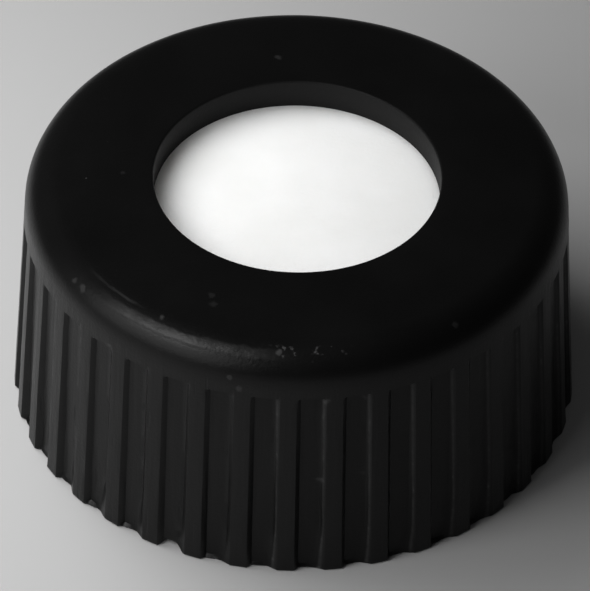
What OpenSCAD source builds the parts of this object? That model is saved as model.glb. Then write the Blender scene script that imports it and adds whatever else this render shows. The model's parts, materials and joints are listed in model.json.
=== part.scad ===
// Septum screw cap for a small sample vial: a moulded black cap with an open
// top, and the rubber septum disc that is pressed up against its top plate.
// Millimetres, +Z up. The origin is on the cap's axis, in the plane of the rim,
// so the cap stands mouth down with its open top facing up.

/* [Neck fit] */
// Diameter over the screw thread of the vial that the cap fits
neck_d = 9.0; // [7.5:0.1:13]
// Room between the vial's thread and the bottom of the cap's thread, on the radius
neck_gap = 0.12; // [0.06:0.02:0.3]
// Depth from the rim up to the septum, which is where the vial's lip stops
neck_depth = 3.85; // [3.2:0.05:7]
// Taper of the bore, in degrees a side, so that the core pulls out of the moulding
bore_draft = 0.5; // [0.2:0.1:1]

/* [Mouth] */
// Height of the plain round land that guides the neck in, chamfer included
land_h = 0.6; // [0.4:0.05:1]
// How far the land stands back from the bore, on the radius
land_step = 0.08; // [0.04:0.02:0.14]
// Lead-in chamfer at the rim
mouth_chamfer = 0.15; // [0.05:0.05:0.25]

/* [Thread] */
// Rise of the thread in one turn
pitch = 1.8; // [1.5:0.1:2.4]
// Number of turns wanted; fewer are made when the neck depth has no room for them
turns = 1.2; // [0.6:0.1:3]
// Height of the thread ridge above the bore
ridge_h = 0.4; // [0.25:0.05:0.5]
// Width of the ridge where it leaves the bore
ridge_base_w = 0.95; // [0.7:0.05:1.2]
// Width of the flat on the ridge's crest
ridge_crest_w = 0.35; // [0.2:0.05:0.5]
// Angle over which each end of the ridge fades into the bore, in degrees
ridge_fade = 45; // [20:5:80]
// Room between the upper end of the ridge and the septum
ridge_clear = 0.1; // [0.05:0.05:0.4]

/* [Skirt] */
// Wall at the rim, from the bore out to the tops of the grip ribs
wall_t = 1.18; // [0.95:0.01:1.8]
// Taper of the outside, in degrees a side, narrower at the top
skirt_draft = 3.6; // [1:0.1:5]
// Radius that rounds the skirt into the top face
shoulder_r = 0.7; // [0.3:0.05:0.9]
// Height of the smooth collar, from the ends of the grip ribs up to the top face
collar_h = 1.05; // [0.9:0.05:2]

/* [Grip ribs] */
// Number of ribs around the skirt
rib_count = 38; // [24:1:44]
// Height of a rib above the groove beside it
rib_h = 0.15; // [0.08:0.01:0.25]
// Width of a rib across its top
rib_w = 0.32; // [0.2:0.01:0.4]
// Width of each sloping side of a rib
rib_side_w = 0.12; // [0.06:0.01:0.16]
// Height over which a groove runs out into the collar
groove_runout = 0.2; // [0.1:0.05:0.4]

/* [Top plate] */
// Thickness of the plate over the septum
top_t = 0.65; // [0.45:0.05:1.2]
// Diameter of the hole that the needle goes through
hole_d = 5.8; // [3:0.1:6.6]
// Chamfer round the hole's upper edge
hole_chamfer = 0.06; // [0.02:0.02:0.2]

/* [Septum] */
// Thickness of the septum
septum_t = 1.0; // [0.7:0.1:1.6]
// Room between the septum's edge and the bore, on the radius
septum_gap = 0.08; // [0.04:0.02:0.2]

/* [Hidden] */
$fn = 96;
root_r = neck_d / 2 + neck_gap;               // bore at the top of the land
land_r = root_r + land_step;
cap_h = neck_depth + septum_t + top_t;
plate_z = cap_h - top_t;                      // underside of the top plate
bore_z = land_h + land_step;                  // where the tapered bore starts
bore_top_r = root_r - (plate_z - bore_z) * tan(bore_draft);
septum_r = bore_top_r - septum_gap;
rim_r = root_r + wall_t;                      // tops of the ribs, at the rim
ridge_low = land_h + land_step + ridge_base_w / 2;
ridge_room = neck_depth - ridge_clear - ridge_base_w / 2 - ridge_low;
ridge_turns = max(0.4, min(turns, ridge_room / pitch));
ridge_steps = ceil(ridge_turns * 48);
rib_pitch = 360 / rib_count;                  // in degrees
groove_w = 2 * PI * rim_r / rib_count - rib_w - 2 * rib_side_w;   // across its floor
groove_top = cap_h - collar_h;
ridge_root = 0.15;                            // how deep the ridge is bedded in the wall

// Round body of the cap without its bore: a tapered skirt with a rounded shoulder
module blank() {
    round_z = cap_h - shoulder_r;
    round_x = rim_r - round_z * tan(skirt_draft) - shoulder_r / cos(skirt_draft);
    rotate_extrude() {
        polygon([
            [0, 0], [rim_r, 0],
            [round_x + shoulder_r * cos(skirt_draft), round_z + shoulder_r * sin(skirt_draft)],
            [round_x, cap_h], [0, cap_h]
        ]);
        intersection() {
            translate([round_x, round_z]) circle(r = shoulder_r);
            translate([round_x, round_z - shoulder_r]) square([shoulder_r, 2 * shoulder_r]);
        }
    }
}

// Bore from the rim up to the top plate: chamfered mouth, plain land, tapered bore
module bore() {
    translate([0, 0, -1]) cylinder(h = 1 + land_h, r = land_r);
    translate([0, 0, -mouth_chamfer])
        cylinder(h = 2 * mouth_chamfer, r1 = land_r + 2 * mouth_chamfer, r2 = land_r);
    translate([0, 0, land_h]) cylinder(h = land_step, r1 = land_r, r2 = root_r);
    translate([0, 0, bore_z]) cylinder(h = plate_z - bore_z, r1 = root_r, r2 = bore_top_r);
}

// Needle hole through the top plate
module needle_hole() {
    translate([0, 0, plate_z - 0.1]) cylinder(h = top_t + 1, d = hole_d);
    translate([0, 0, cap_h - hole_chamfer])
        cylinder(h = 2 * hole_chamfer, d1 = hole_d, d2 = hole_d + 4 * hole_chamfer);
}

// One groove between two ribs, at the front of the skirt and as deep as a rib is
// high. Its floor follows the skirt's taper, and its upper end slopes out.
module groove() {
    rise = groove_top / cos(skirt_draft);
    clear_x = 2 * rib_h;                      // how far the cutter stands proud
    foot = groove_w / 2;
    brow = foot + rib_side_w * (rib_h + clear_x) / rib_h;
    translate([rim_r, 0, 0]) rotate([0, -skirt_draft, 0]) intersection() {
        translate([0, 0, -1]) linear_extrude(height = rise + 1)
            polygon([[-rib_h, -foot], [-rib_h, foot], [clear_x, brow], [clear_x, -brow]]);
        rotate([90, 0, 0]) linear_extrude(height = 4 * brow, center = true)
            polygon([
                [-rib_h, -1], [-rib_h, rise - groove_runout],
                [0, rise], [clear_x, rise], [clear_x, -1]
            ]);
    }
}

// Right-handed thread ridge, faded at both ends, on the inside of the bore
module ridge() {
    half = [ridge_base_w / 2, ridge_crest_w / 2];
    points = [for (i = [0 : ridge_steps])
        let (
            turn = ridge_turns * i / ridge_steps,
            a = 360 * turn,
            z = ridge_low + pitch * turn,
            fade = min(1, 0.06 + min(a, 360 * ridge_turns - a) / ridge_fade),
            wall = root_r - (z - bore_z) * tan(bore_draft),
            crest = wall - ridge_h * fade
        )
        for (p = [
            [wall + ridge_root, -half[0] * fade - 0.02], [crest, -half[1] * fade],
            [crest, half[1] * fade], [wall + ridge_root, half[0] * fade + 0.02]
        ]) [p[0] * cos(a), p[0] * sin(a), z + p[1]]
    ];
    last = 4 * ridge_steps;
    faces = concat(
        [[0, 1, 2], [0, 2, 3], [last, last + 2, last + 1], [last, last + 3, last + 2]],
        [for (i = [0 : ridge_steps - 1], k = [0 : 3])
            let (a = 4 * i + k, b = 4 * i + (k + 1) % 4) [a, a + 4, b]],
        [for (i = [0 : ridge_steps - 1], k = [0 : 3])
            let (a = 4 * i + k, b = 4 * i + (k + 1) % 4) [b, a + 4, b + 4]]
    );
    polyhedron(points = points, faces = faces);
}

// Moulded cap: skirt, grip ribs, collar, top plate and thread in one piece
module screw_cap() {
    color([0.03, 0.03, 0.03]) {
        difference() {
            blank();
            bore();
            needle_hole();
            for (i = [0 : rib_count - 1]) rotate([0, 0, (i + 0.5) * rib_pitch]) groove();
        }
        ridge();
    }
}

// Septum: a plain rubber disc held against the underside of the top plate
module septum() {
    color([0.95, 0.95, 0.94])
        translate([0, 0, neck_depth]) cylinder(h = septum_t, r = septum_r);
}

screw_cap();
septum();
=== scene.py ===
import json
import math

import bmesh
import bpy
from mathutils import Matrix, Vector


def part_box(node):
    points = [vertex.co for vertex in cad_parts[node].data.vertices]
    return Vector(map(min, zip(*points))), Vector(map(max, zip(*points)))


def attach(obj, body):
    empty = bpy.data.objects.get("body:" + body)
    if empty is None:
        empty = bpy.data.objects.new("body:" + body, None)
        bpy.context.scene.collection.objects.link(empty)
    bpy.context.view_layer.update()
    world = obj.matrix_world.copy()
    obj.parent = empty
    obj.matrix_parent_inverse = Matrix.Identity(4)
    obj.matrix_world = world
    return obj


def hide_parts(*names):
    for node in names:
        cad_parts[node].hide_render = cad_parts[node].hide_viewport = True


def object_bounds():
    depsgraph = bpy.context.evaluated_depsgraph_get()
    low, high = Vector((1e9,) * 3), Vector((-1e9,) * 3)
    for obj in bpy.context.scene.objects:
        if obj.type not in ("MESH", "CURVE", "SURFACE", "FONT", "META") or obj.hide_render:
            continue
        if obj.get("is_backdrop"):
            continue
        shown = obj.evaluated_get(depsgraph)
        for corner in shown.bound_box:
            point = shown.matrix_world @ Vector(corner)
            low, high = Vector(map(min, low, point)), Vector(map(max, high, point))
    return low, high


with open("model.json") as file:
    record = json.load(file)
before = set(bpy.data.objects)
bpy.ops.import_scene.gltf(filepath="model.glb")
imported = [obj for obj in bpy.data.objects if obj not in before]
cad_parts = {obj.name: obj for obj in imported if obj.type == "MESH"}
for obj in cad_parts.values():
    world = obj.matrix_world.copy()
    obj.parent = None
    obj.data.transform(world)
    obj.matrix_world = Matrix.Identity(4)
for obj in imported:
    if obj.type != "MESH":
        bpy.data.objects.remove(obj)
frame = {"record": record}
cad_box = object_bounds()

# ---------------------------------------------------------------- moulded cap
# One black polypropylene moulding: a tapered skirt with grip ribs, a smooth
# collar that rounds into the top plate, and a right-handed thread inside. It is
# injected in one shot, so its edges are slightly soft and its rim has some flash.

mm = 0.001
mounts = {mount["name"]: mount for mount in frame["record"]["mounts"]}
septum_low, septum_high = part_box("septum")
rim_r, cap_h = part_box("screw_cap")[1].x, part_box("screw_cap")[1].z
plate_z = septum_high.z                       # underside of the top plate
hole_r = mounts["needle_hole"]["dims"]["r_mm"] * mm
land_r = mounts["neck_thread"]["dims"]["r_mm"] * mm
land_h, land_step, mouth_chamfer = 0.6 * mm, 0.08 * mm, 0.15 * mm
root_r, bore_z = land_r - land_step, land_h + land_step
skirt_draft, bore_draft = math.radians(3.6), math.radians(0.5)
shoulder_r, soft_edge = 0.7 * mm, 0.05 * mm
rib_count, points_per_rib = 38, 20
groove_top, groove_step = cap_h - 1.02 * mm, 0.05 * mm


def bend(x, z, r, start, end, steps):
    """Points of a rounded edge about (x, z), from one angle to another, in degrees."""
    angles = [math.radians(start + (end - start) * i / steps) for i in range(steps + 1)]
    return [(x + r * math.cos(a), z + r * math.sin(a)) for a in angles]


def wall(x0, z0, x1, z1, steps):
    """Points along a straight wall, without its two ends."""
    parts = [i / steps for i in range(1, steps)]
    return [(x0 + (x1 - x0) * t, z0 + (z1 - z0) * t) for t in parts]


# Half section, walked from the rim up the outside, over the top plate, down the
# needle hole and back down the bore. Rows are closest where the grooves run out,
# on the rounded edges and along the thread.
round_z = cap_h - shoulder_r
round_x = rim_r - round_z * math.tan(skirt_draft) - shoulder_r / math.cos(skirt_draft)
bore_top = root_r - (plate_z - bore_z) * math.tan(bore_draft)
section = bend(rim_r - soft_edge, soft_edge, soft_edge, -90, -3, 4)
foot, step_foot = soft_edge, groove_top - groove_step
for head, steps in ((0.1 * mm, 1), (0.6 * mm, 6), (step_foot - 0.3 * mm, 20), (step_foot, 4),
                    (groove_top, 1), (round_z, 3)):
    foot_x, head_x = (rim_r - z * math.tan(skirt_draft) for z in (foot, head))
    section += wall(foot_x, foot, head_x, head, steps) + [(head_x, head)]
    foot = head
section.pop()
section += bend(round_x, round_z, shoulder_r, math.degrees(skirt_draft), 90, 16)
section += wall(round_x, cap_h, hole_r + soft_edge, cap_h, 7)
section += bend(hole_r + soft_edge, cap_h - soft_edge, soft_edge, 90, 180, 4)
section += wall(hole_r, cap_h - soft_edge, hole_r, plate_z, 3)
section += [(hole_r, plate_z)] + wall(hole_r, plate_z, bore_top, plate_z, 3)
section += [(bore_top, plate_z)] + wall(bore_top, plate_z, root_r, bore_z, 44)
section += [(root_r, bore_z), (land_r, land_h), (land_r, mouth_chamfer), (land_r + mouth_chamfer, 0)]
section += wall(land_r + mouth_chamfer, 0, rim_r - soft_edge, 0, 4)
section_mesh = bpy.data.meshes.new("cap_section")
section_mesh.from_pydata([(x, 0, z) for x, z in section], [], [])
cap_maker = bpy.data.objects.new("cap_maker", section_mesh)
bpy.context.collection.objects.link(cap_maker)


class Field:
    """A node socket that can be written into sums. add() makes any other node in the
    same tree: its type, the output wanted, its settings, then its sockets."""

    def __init__(self, tree, socket=None):
        self.tree, self.socket = tree, socket

    def add(self, kind, out=0, settings=None, **sockets):
        node = self.tree.nodes.new(kind)
        for name, value in (settings or {}).items():
            setattr(node, name, value)
        for name, value in sockets.items():
            slot = node.inputs[int(name[1:]) if name[1:].isdigit() else name.replace("_", " ")]
            if isinstance(value, Field):
                self.tree.links.new(value.socket, slot)
            else:
                slot.default_value = value
        return Field(self.tree, node.outputs[out])

    def math(self, operation, *others):
        slots = {f"n{i}": value for i, value in enumerate((self, *others))}
        return self.add("ShaderNodeMath", settings={"operation": operation}, **slots)

    def __add__(self, other):
        return self.math("ADD", other)

    def __sub__(self, other):
        return self.math("SUBTRACT", other)

    def __rsub__(self, other):
        return self.math("MULTIPLY_ADD", -1.0, other)

    def __mul__(self, other):
        return self.math("MULTIPLY", other)

    def __truediv__(self, other):
        return self.math("DIVIDE", other)

    def __mod__(self, other):
        return self.math("FLOORED_MODULO", other)

    def __abs__(self):
        return self.math("ABSOLUTE")

    def __round__(self):
        return self.math("ROUND")

    __radd__, __rmul__ = __add__, __mul__

    def rise(self, low, high, shape="SMOOTHSTEP"):
        """0 up to low, 1 from high on, and a soft step between, or a LINEAR slope."""
        return self.add("ShaderNodeMapRange", settings={"interpolation_type": shape},
                        Value=self, From_Min=low, From_Max=high)

    def fall(self, low, high, shape="SMOOTHSTEP"):
        """The same step downwards, from 1 to 0."""
        return 1.0 - self.rise(low, high, shape)

    def lumps(self, scale, detail, seed):
        """Seeded noise over this place, evenly about 0 and mostly within 1 of it."""
        noise = self.add("ShaderNodeTexNoise", settings={"noise_dimensions": "4D"},
                         Vector=self, Scale=scale, Detail=detail, W=seed)
        return noise * 4.0 - 2.0


cap_tree = bpy.data.node_groups.new("moulded_cap", "GeometryNodeTree")
cap_tree.interface.new_socket("Section", in_out="INPUT", socket_type="NodeSocketGeometry")
cap_tree.interface.new_socket("Cap", in_out="OUTPUT", socket_type="NodeSocketGeometry")
cap_sizes = {}
for label, kind, value in (
    ("Section points", "Int", len(section)),
    ("Ribs", "Int", rib_count),
    ("Points per rib", "Int", points_per_rib),
    ("Rim radius", "Float", rim_r),
    ("Rib height", "Float", 0.135 * mm),
    ("Rib width", "Float", 0.34 * mm),
    ("Rib side width", "Float", 0.09 * mm),
    ("Pushed side width", "Float", 0.1 * mm),
    ("Rib foot", "Float", 0.2 * mm),
    ("Groove top", "Float", groove_top),
    ("Groove step", "Float", groove_step),
    ("Flash height", "Float", 0.1 * mm),
    ("Thread start", "Float", bore_z + 0.475 * mm),
    ("Thread pitch", "Float", 1.8 * mm),
    ("Thread turns", "Float", 1.2),
    ("Thread height", "Float", 0.4 * mm),
    ("Thread base", "Float", 0.95 * mm),
    ("Thread crest", "Float", 0.35 * mm),
    ("Nicked groove", "Float", 25.48),
    ("Nick depth", "Float", 0.13 * mm),
    ("Unevenness", "Float", 0.007 * mm),
    ("Seed", "Float", 3.7),
    ("Material", "Material", None),
):
    slot = cap_tree.interface.new_socket(label, in_out="INPUT", socket_type="NodeSocket" + kind)
    cap_sizes[slot.identifier] = value
entry = cap_tree.nodes.new("NodeGroupInput")
given = {socket.name: Field(cap_tree, socket) for socket in entry.outputs if socket.name}
cap_node = Field(cap_tree).add

# A flat sheet with one row for each point of the section is rolled round the axis.
# Its columns are closest over the sides of the ribs, which need them most.
rows, columns = given["Section points"], given["Ribs"] * given["Points per rib"]
rib_gap = given["Rim radius"] * (2 * math.pi) / given["Ribs"]
sheet = cap_node("GeometryNodeMeshGrid", Size_X=rows, Size_Y=columns,
                 Vertices_X=rows + 1.0, Vertices_Y=columns + 1.0)
on_sheet = cap_node("GeometryNodeInputPosition")
row = round(cap_node("ShaderNodeSeparateXYZ", "X", Vector=on_sheet) + rows * 0.5) % rows
column = round(cap_node("ShaderNodeSeparateXYZ", "Y", Vector=on_sheet) + columns * 0.5) % columns
outline = cap_node("GeometryNodeSampleIndex", settings={"data_type": "FLOAT_VECTOR"},
                   Geometry=given["Section"], Value=cap_node("GeometryNodeInputPosition"), Index=row)
radius = cap_node("ShaderNodeSeparateXYZ", "X", Vector=outline)
height = cap_node("ShaderNodeSeparateXYZ", "Z", Vector=outline)
rib = column / given["Points per rib"]
from_rib = rib - round(rib)
room_before, room_after = 0.04 * mm, 0.06 * mm
side_start = (given["Rib width"] - room_before) / rib_gap
side_end = side_start + (2.0 * given["Pushed side width"] + room_after) / rib_gap
to_groove = abs(from_rib) * 2.0
to_groove = (to_groove.rise(0.0, 0.2, "LINEAR") * side_start
             + to_groove.rise(0.2, 0.8, "LINEAR") * (side_end - side_start)
             + to_groove.rise(0.8, 1.0, "LINEAR") * (1.0 - side_end))
rib = round(rib) + from_rib.math("SIGN") * to_groove * 0.5
turned = rib * (2 * math.pi) / given["Ribs"]
cosine, sine = turned.math("COSINE"), turned.math("SINE")
place = cap_node("ShaderNodeCombineXYZ", X=radius * cosine, Y=radius * sine, Z=height)

# Grip ribs: grooves are sunk between them, shallower towards the collar, where they
# end in a small step. Towards the rim one side of each rib spreads into its groove,
# more on some ribs than others, and on the other side a sliver of flash is left.
# In one groove the rim is nicked.
swell = place.lumps(700, 2, given["Seed"])
waver = place.lumps(2600, 1, given["Seed"] + 5.0)
side_waver, depth_lost = 0.006 * mm, 0.45
foot_low, foot_top, foot_full = -0.8 * mm, 1.3 * mm, 1.5
edge = given["Rib width"] * 0.5 + waver * side_waver
past = rib % 1.0 * rib_gap
spread = given["Rib foot"] * (1.0 + 0.9 * swell) * height.fall(foot_low, foot_top) * foot_full
groove = past.rise(edge, edge + given["Rib side width"], "LINEAR")
pushed_side = given["Pushed side width"] + abs(spread)
groove = groove * (rib_gap - past).rise(edge, edge + pushed_side, "LINEAR")
groove = groove * height.fall(given["Groove top"] - given["Groove step"], given["Groove top"], "LINEAR")
groove = groove * (1.0 - depth_lost * height.rise(0.3 * mm, 4.5 * mm, "LINEAR"))
nick = (abs(rib - given["Nicked groove"]) * rib_gap).fall(0.16 * mm, 0.28 * mm)
flash = height.fall(given["Flash height"] * 0.5, given["Flash height"])
flash = flash * past.fall(0.35 * mm, 0.7 * mm) * (1.0 - nick)
flash = flash * (0.5 + 0.5 * swell + 0.3 * waver).math("MAXIMUM", 0.0)
outside = radius.rise(5.0 * mm, 5.5 * mm)
sunk = given["Rib height"] * groove * (1.0 - 0.7 * flash)
nicked = given["Nick depth"] * nick * outside * height.fall(0.0, 0.5 * mm)

# Thread: a trapezoid ridge that winds up the bore and fades out at both ends
turn = turned / (2 * math.pi)
turn = turn + round((height - given["Thread start"]) / given["Thread pitch"] - turn)
from_ridge = abs(height - given["Thread start"] - turn * given["Thread pitch"])
ridge = from_ridge.fall(given["Thread crest"] * 0.42, given["Thread base"] * 0.52)
ridge = ridge * turn.rise(0.0, 0.125) * turn.fall(given["Thread turns"] - 0.125, given["Thread turns"])
near_bore = 0.01 * mm
in_bore = radius.rise(4.5 * mm, 4.55 * mm) * radius.fall(root_r + near_bore, root_r + 4 * near_bore)
raised = given["Thread height"] * ridge * in_bore * height.fall(septum_low.z - 0.05 * mm, septum_low.z)

# Slight sinks and waves of the moulding, none of them outside its true outline
sink = given["Unevenness"] * (0.5 + 0.5 * swell).math("MAXIMUM", 0.0)
radius = radius - (sunk + sink) * outside - raised
height = height + nicked - sink * height.rise(plate_z + 0.3 * mm, cap_h)
rolled = cap_node("ShaderNodeCombineXYZ", X=radius * cosine, Y=radius * sine, Z=height)
moulding = cap_node("GeometryNodeSetPosition", Geometry=sheet, Position=rolled)
moulding = cap_node("GeometryNodeMergeByDistance", Geometry=moulding, Distance=0.0005 * mm)
moulding = cap_node("GeometryNodeFlipFaces", Mesh=moulding)
moulding = cap_node("GeometryNodeRealizeInstances", Geometry=moulding)
moulding = cap_node("GeometryNodeSetMaterial", Geometry=moulding, Material=given["Material"])
cap_tree.links.new(moulding.socket, cap_tree.nodes.new("NodeGroupOutput").inputs[0])

# Carbon-black plastic: nearly black all through and satin, with a fine moulded
# grain and faint flow clouds. The rib crests are a little paler than the grooves,
# which is painted shade in the grooves, and one side of the ribs at the front and
# right is painted paler as a painted highlight; handling has left short scores. The
# shoulder has a ragged band left of the front, bumped as a scuff and painted paler
# as a painted highlight, a thin scuff above it and a cluster of specks at its end,
# and single nicks are dotted about.
black = bpy.data.materials.new("black_polypropylene")
black.use_nodes = True
plastic = black.node_tree.nodes["Principled BSDF"]
plastic.inputs["IOR"].default_value = 1.49
plastic.inputs["Specular IOR Level"].default_value = 0.2
plastic_node = Field(black.node_tree).add
point = plastic_node("ShaderNodeTexCoord", "Object")
side, back, up = (plastic_node("ShaderNodeSeparateXYZ", axis, Vector=point) for axis in "XYZ")
out = (side * side + back * back).math("SQRT")
from_front = side.math("ARCTAN2", 0.0 - back)
past = (from_front * (rib_count / (2 * math.pi)) + 0.5) % 1.0
cloud, blotch = point.lumps(450, 3, 1.3), point.lumps(2400, 3, 6.1)
grain, grit = point.lumps(16000, 4, 2.1), point.lumps(6500, 3, 8.4)
drawn = plastic_node("ShaderNodeMapping", Vector=point, Scale=(1.0, 1.0, 0.06)).lumps(9000, 2, 5.7)
score = plastic_node("ShaderNodeMapping", Vector=point, Scale=(1.0, 1.0, 0.12)).lumps(6000, 1, 9.2)
skirt = up.fall(4.6 * mm, 4.9 * mm)
score = score.rise(0.75, 1.0) * skirt
in_hole = out.fall(hole_r + 0.01 * mm, hole_r + 0.05 * mm)
crest = (out + up * math.tan(skirt_draft) - rim_r).rise(-0.08 * mm, -0.02 * mm)
rib_side = crest * (1.0 - crest) * 4.0 * skirt
# painted highlight: one side of each rib at the front and right is painted paler, where the lit flanks
# shine
flank_highlight = rib_side * past.rise(0.45, 0.55) * from_front.rise(-0.35, -0.12) * (0.7 + 0.5 * grit)
below_top = cap_h - up
ragged = below_top - blotch * (0.015 * mm) - grit * (0.01 * mm)
# the ragged shoulder band is bumped like a scuff and painted paler as a painted highlight
band_scuff_and_highlight = ragged.rise(0.06 * mm, 0.09 * mm) * ragged.fall(0.17 * mm, 0.23 * mm)
band_scuff_and_highlight = band_scuff_and_highlight * from_front.rise(-0.95, -0.7) * from_front.fall(-0.28, -0.02) * (0.7 + 0.5 * blotch)
shoulder = below_top.fall(0.14 * mm, 0.24 * mm)
cluster = abs(from_front + 0.02).fall(0.05, 0.2) * shoulder * below_top.rise(0.03 * mm, 0.07 * mm)
scuff_r, scuff_front = 4.99 * mm, -0.85
scuff = abs(out - scuff_r + grit * (0.02 * mm)).fall(0.005 * mm, 0.045 * mm)
scuff = scuff * abs(from_front - scuff_front).fall(0.06, 0.19) * shoulder * cloud.rise(-0.6, 0.2)
nicks = 0.0
# Each nick: degrees from the front, distance from the axis, height, size, paleness
for around, off, at, wide, pale in (
    (-35, 5.0, 5.45, 0.09, 0.3), (-56, 5.3, 5.25, 0.1, 0.2), (-59, 5.3, 5.25, 0.09, 0.2),
    (-28, 4.0, 5.5, 0.1, 0.1), (-26, 4.2, 5.5, 0.1, 0.1), (-7, 5.15, 5.4, 0.09, 0.5),
    (-17, 5.5, 4.9, 0.07, 0.3), (-15, 5.5, 4.65, 0.09, 0.3), (-45, 5.5, 4.55, 0.08, 0.3),
    (-2, 5.55, 3.85, 0.08, 0.3), (-8, 5.65, 2.1, 0.08, 0.3), (-29, 5.65, 2.3, 0.08, 0.3),
    (33, 5.25, 5.35, 0.09, 0.2), (-177, 3.7, 5.5, 0.08, 0.2), (-93, 3.5, 5.5, 0.07, 0.1),
    (3, 5.5, 4.4, 0.1, 0.4), (11, 5.5, 4.35, 0.09, 0.3), (21, 5.5, 4.4, 0.08, 0.2),
    (2, 5.6, 2.35, 0.11, 0.4), (11, 5.6, 2.4, 0.11, 0.4),
):
    around = math.radians(around)
    nick_at = (off * math.sin(around) * mm, -off * math.cos(around) * mm, at * mm)
    apart = plastic_node("ShaderNodeVectorMath", "Value", {"operation": "DISTANCE"},
                         n0=point, n1=nick_at)
    nicks = nicks + pale * (apart + grit * (0.05 * mm)).fall(0.3 * wide * mm, wide * mm)
# real specks, scuffs and nicks, plus the painted flank highlight
wear_and_flank_highlight = (cluster + 0.4 * flank_highlight) * grit.rise(0.35, 0.8) + 0.2 * scuff + nicks + grit.rise(1.0, 1.15)
wear_and_painted_highlights = 0.5 * wear_and_flank_highlight + 0.2 * flank_highlight + 0.1 * band_scuff_and_highlight
thin_black, full_black = (0.0036, 0.0036, 0.0036, 1), (0.0024, 0.0024, 0.0024, 1)
crest_black_painted_shade, worn_and_highlight_grey = (0.006, 0.006, 0.006, 1), (0.12, 0.12, 0.12, 1)
colour = plastic_node("ShaderNodeMix", "Result", {"data_type": "RGBA"}, Factor=cloud.rise(-1, 1),
                      n6=full_black, n7=thin_black)
# rib crests painted paler than the grooves: painted shade in the grooves
colour = plastic_node("ShaderNodeMix", "Result", {"data_type": "RGBA"}, Factor=crest * skirt,
                      n6=colour, n7=crest_black_painted_shade)
# the mix towards grey carries real wear and specks and the painted highlights
colour = plastic_node("ShaderNodeMix", "Result", {"data_type": "RGBA"}, Factor=wear_and_painted_highlights,
                      n6=colour, n7=worn_and_highlight_grey)
rough = 0.36 + 0.03 * cloud + 0.03 * grain + 0.03 * skirt * drawn
rough = rough + 0.1 * wear_and_flank_highlight + 0.1 * score + 0.25 * in_hole
relief = grain + 1.5 * cloud + 1.8 * skirt * drawn + 3.0 * wear_and_flank_highlight + 9.0 * band_scuff_and_highlight - 3.0 * score
bump = plastic_node("ShaderNodeBump", "Normal", Strength=1.0, Distance=0.0012 * mm, Height=relief)
for name, value in (("Base Color", colour), ("Roughness", rough), ("Normal", bump)):
    black.node_tree.links.new(value.socket, plastic.inputs[name])

moulder = cap_maker.modifiers.new("moulding", "NODES")
moulder.node_group = cap_tree
for identifier, value in cap_sizes.items():
    moulder[identifier] = black if value is None else value
graph = bpy.context.evaluated_depsgraph_get()
cap_mesh = bpy.data.meshes.new_from_object(cap_maker.evaluated_get(graph), depsgraph=graph)
cap_maker.modifiers.remove(moulder)
bpy.data.objects.remove(cap_maker)
cap_mesh.polygons.foreach_set("use_smooth", [True] * len(cap_mesh.polygons))
hard_edge = math.radians(28)
cap_mesh.set_sharp_from_angle(angle=hard_edge)
for edge in cap_mesh.edges:                     # the thread is rounded all over
    x, y, z = cap_mesh.vertices[edge.vertices[0]].co
    in_wall = 4.0 * mm < math.hypot(x, y) < root_r + near_bore
    if in_wall and bore_z + 2 * near_bore < z < plate_z - 2 * near_bore:
        edge.use_edge_sharp = False
cap_shape = bpy.data.objects.new("cap_moulding", cap_mesh)
bpy.context.collection.objects.link(cap_shape)
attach(cap_shape, "root")
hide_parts("screw_cap")

# -------------------------------------------------------------------- septum
# A disc of white silicone rubber, cut from sheet and pushed up against the top
# plate. Under the hole it is free, and swells up into it a little.

septum_r, swell_h, cut_edge = septum_high.x, 0.06 * mm, 0.04 * mm
free_r, swell_steps, round_steps = hole_r - 0.03 * mm, 18, 160
disc = [(free_r * i / swell_steps, plate_z + swell_h * (1 - (i / swell_steps) ** 2) ** 2)
        for i in range(swell_steps)]
disc += wall(free_r, plate_z, septum_r - cut_edge, plate_z, 5)
disc += bend(septum_r - cut_edge, plate_z - cut_edge, cut_edge, 90, 0, 4)
disc += wall(septum_r, plate_z - cut_edge, septum_r, septum_low.z + cut_edge, 4)
disc += bend(septum_r - cut_edge, septum_low.z + cut_edge, cut_edge, 0, -90, 4)
disc += wall(septum_r - cut_edge, septum_low.z, 0, septum_low.z, 8) + [(0, septum_low.z)]
septum_shape = bmesh.new()
disc_line = [septum_shape.verts.new((x, 0, z)) for x, z in disc]
edges = [septum_shape.edges.new(pair) for pair in zip(disc_line, disc_line[1:])]
bmesh.ops.spin(septum_shape, geom=disc_line + edges, axis=(0, 0, 1), cent=(0, 0, 0),
               angle=2 * math.pi, steps=round_steps)
bmesh.ops.remove_doubles(septum_shape, verts=septum_shape.verts, dist=0.0005 * mm)
bmesh.ops.recalc_face_normals(septum_shape, faces=septum_shape.faces)
septum_mesh = bpy.data.meshes.new("septum_disc")
septum_shape.to_mesh(septum_mesh)
septum_mesh.polygons.foreach_set("use_smooth", [True] * len(septum_mesh.polygons))

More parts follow.
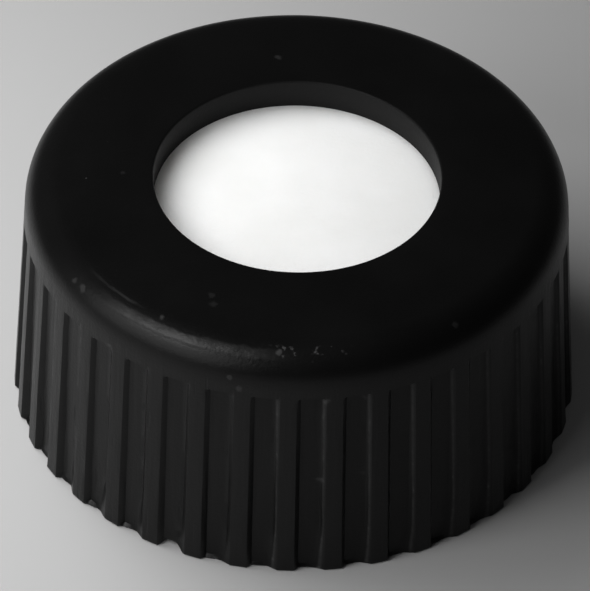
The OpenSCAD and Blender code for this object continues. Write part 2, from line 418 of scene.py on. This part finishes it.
silicone = bpy.data.materials.new("white_silicone")
silicone.use_nodes = True
rubber = silicone.node_tree.nodes["Principled BSDF"]
rubber.inputs["IOR"].default_value = 1.41
rubber.inputs["Subsurface Weight"].default_value = 0.9
rubber.inputs["Subsurface Radius"].default_value = (1.0, 0.98, 0.97)
rubber.inputs["Subsurface Scale"].default_value = 0.9 * mm
rubber_node = Field(silicone.node_tree).add
point = rubber_node("ShaderNodeTexCoord", "Object")
cloud, grain = point.lumps(600, 3, 4.2), point.lumps(14000, 3, 6.6)
white, clear_white = (0.83, 0.83, 0.82, 1), (0.88, 0.88, 0.875, 1)
colour = rubber_node("ShaderNodeMix", "Result", {"data_type": "RGBA"}, Factor=cloud.rise(-1, 1),
                     n6=white, n7=clear_white)
rough = 0.55 + 0.04 * cloud + 0.04 * grain
relief = grain + 2.0 * cloud
bump = rubber_node("ShaderNodeBump", "Normal", Strength=1.0, Distance=0.002 * mm, Height=relief)
for name, value in (("Base Color", colour), ("Roughness", rough), ("Normal", bump)):
    silicone.node_tree.links.new(value.socket, rubber.inputs[name])
septum_mesh.materials.append(silicone)
septum_disc = bpy.data.objects.new("septum_disc", septum_mesh)
bpy.context.collection.objects.link(septum_disc)
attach(septum_disc, "root")
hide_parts("septum")

# ------------------------------------------------------- table, light, camera
# A plain pale table, a main panel behind on the left, without glare as a polarised
# lamp is, a small one for the soft band on the shoulder and a low one to fill in below
# it. The camera looks down at the front through a long lens.

table_mesh = bpy.data.meshes.new("table_top")
reach = 0.4
corners = [(-reach, -reach, 0), (reach, -reach, 0), (reach, reach, 0), (-reach, reach, 0)]
table_mesh.from_pydata(corners, [], [(0, 1, 2, 3)])
paper = bpy.data.materials.new("pale_table")
paper.use_nodes = True
paper_finish = paper.node_tree.nodes["Principled BSDF"]
paper_finish.inputs["Base Color"].default_value = (0.46, 0.46, 0.46, 1)
paper_finish.inputs["Roughness"].default_value = 0.85
table_mesh.materials.append(paper)
table_top = bpy.data.objects.new("table_top", table_mesh)
bpy.context.collection.objects.link(table_top)
table_top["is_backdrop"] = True


def soft_panel(name, around, above, away, width, height, watts, glare=True):
    """A light panel turned towards the cap, placed by two angles and its distance."""
    around, above = math.radians(around), math.radians(above)
    level = math.cos(above)
    facing = Vector((level * math.cos(around), level * math.sin(around), math.sin(above)))
    light = bpy.data.lights.new(name, "AREA")
    light.shape, light.size, light.size_y, light.energy = "RECTANGLE", width, height, watts
    panel = bpy.data.objects.new(name, light)
    panel.location = facing * away
    panel.rotation_euler = facing.to_track_quat("Z", "Y").to_euler()
    panel.visible_glossy = glare
    bpy.context.collection.objects.link(panel)


soft_panel("main_panel", 152, 53, 0.031, 0.023, 0.023, 0.0092, glare=False)
soft_panel("small_panel", 215, 48, 0.032, 0.011, 0.011, 0.0028)
soft_panel("low_panel", 215, 27, 0.033, 0.033, 0.020, 0.0037)
studio = bpy.data.worlds.new("studio")
studio.use_nodes = True
surroundings = studio.node_tree.nodes["Background"]
surroundings.inputs["Color"].default_value = (1, 1, 1, 1)
surroundings.inputs["Strength"].default_value = 0.05
bpy.context.scene.world = studio

rise, swing, roll = math.radians(42.4), math.radians(-3.84), math.radians(1.1)
towards = Vector((math.sin(swing) * math.cos(rise), -math.cos(swing) * math.cos(rise), math.sin(rise)))
lens = bpy.data.cameras.new("camera")
lens.sensor_width, lens.lens, lens.clip_start = 36.0, 334.0, 0.005
look_at, camera_away = Vector((0, 0, 0.4 * cap_h)), 0.1126
camera = bpy.data.objects.new("camera", lens)
camera.location = look_at + towards * camera_away
camera.rotation_euler = towards.to_track_quat("Z", "Y").to_euler()
camera.rotation_euler.rotate_axis("Z", roll)
bpy.context.collection.objects.link(camera)
bpy.context.scene.camera = camera
bpy.context.scene.view_settings.view_transform = "Standard"

own_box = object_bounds()
boxes = {"cad": [list(corner) for corner in cad_box], "visual": [list(corner) for corner in own_box]}
